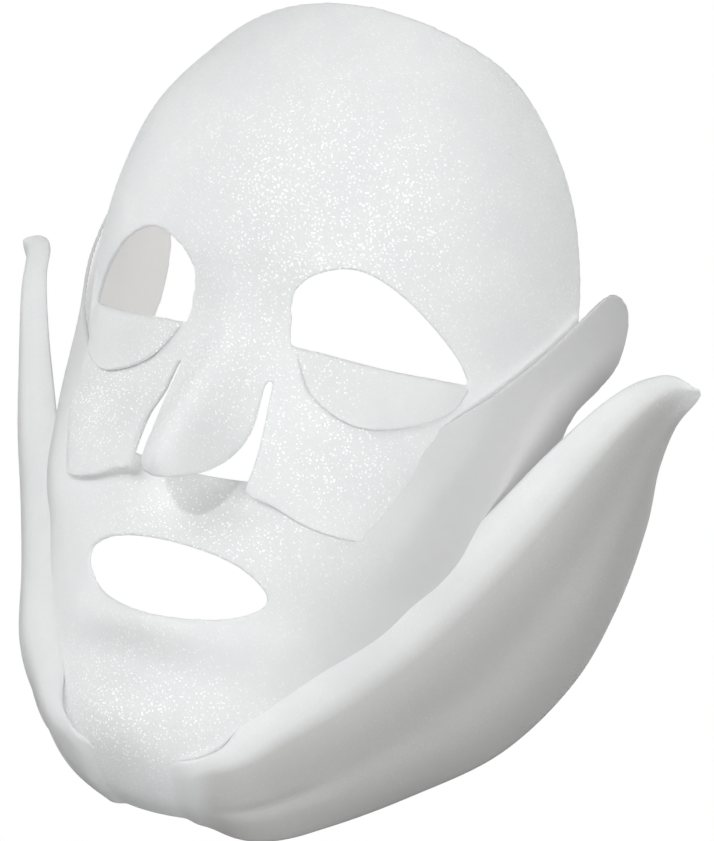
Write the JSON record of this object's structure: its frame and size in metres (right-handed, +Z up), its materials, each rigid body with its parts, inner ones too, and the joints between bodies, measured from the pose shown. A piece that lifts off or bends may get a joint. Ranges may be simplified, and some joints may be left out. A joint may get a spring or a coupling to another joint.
{
  "type": "facial sheet mask",
  "caption": "Soft gel sheet mask in its worn shape: upper sheet with eye holes and folded flaps, lower sheet with mouth hole, cheek wings with ear tabs, and splayed jaw wings.",
  "frame": {"origin": "the middle of the wearer's head, midway between the ears, where the head that holds the mask is centred", "axes": "+Z up towards the top of the forehead, -Y the way the face looks, +X the wearer's left"},
  "size_m": [0.2096, 0.1057, 0.2185],
  "materials": {
    "gel": "wet translucent white hydrogel, satin with fine glints"
  },
  "bodies": {
    "upper": {"upper_sheet": "gel"},
    "nose_flap": {"nose_flap": "gel"},
    "eye_flap_left": {"eye_flap_left": "gel"},
    "eye_flap_right": {"eye_flap_right": "gel"},
    "lower": {"lower_sheet": "gel"},
    "ear_tab_left": {"ear_tab_left": "gel"},
    "ear_tab_right": {"ear_tab_right": "gel"},
    "jaw_wing_left": {"jaw_wing_left": "gel"},
    "jaw_wing_right": {"jaw_wing_right": "gel"}
  },
  "joints": [
    {"name": "nose_flap_lift", "type": "hinge", "parent": "upper", "child": "nose_flap", "pos_m": [0, -0.1082, 0.0044], "axis": [-1, 0, 0], "range_deg": [0, 35]},
    {"name": "lower_sheet_peel", "type": "slide", "parent": "upper", "child": "lower", "axis": [0, 0, -1], "range_m": [0, 0.06]},
    {"name": "eye_flap_left_fold", "type": "hinge", "parent": "upper", "child": "eye_flap_left", "pos_m": [0.0366, -0.0848, 0.0152], "axis": [-0.862, -0.505, -0.045], "range_deg": [0, 120]},
    {"name": "ear_tab_left_peel", "type": "hinge", "parent": "lower", "child": "ear_tab_left", "pos_m": [0.0705, -0.0529, 0.0084], "axis": [-0.06, 0.039, -0.9974], "range_deg": [0, 90]},
    {"name": "jaw_wing_left_swing", "type": "hinge", "parent": "lower", "child": "jaw_wing_left", "pos_m": [0.0122, -0.08, -0.1062], "axis": [-0.1474, 0.8847, -0.4423], "range_deg": [0, 50]},
    {"name": "eye_flap_right_fold", "type": "hinge", "parent": "upper", "child": "eye_flap_right", "pos_m": [-0.0366, -0.0848, 0.0152], "axis": [-0.862, 0.505, 0.045], "range_deg": [0, 120]},
    {"name": "ear_tab_right_peel", "type": "hinge", "parent": "lower", "child": "ear_tab_right", "pos_m": [-0.0705, -0.0529, 0.0084], "axis": [-0.06, -0.039, 0.9974], "range_deg": [0, 90]},
    {"name": "jaw_wing_right_swing", "type": "hinge", "parent": "lower", "child": "jaw_wing_right", "pos_m": [-0.0122, -0.08, -0.1062], "axis": [-0.1474, -0.8847, 0.4423], "range_deg": [0, 50]}
  ]
}
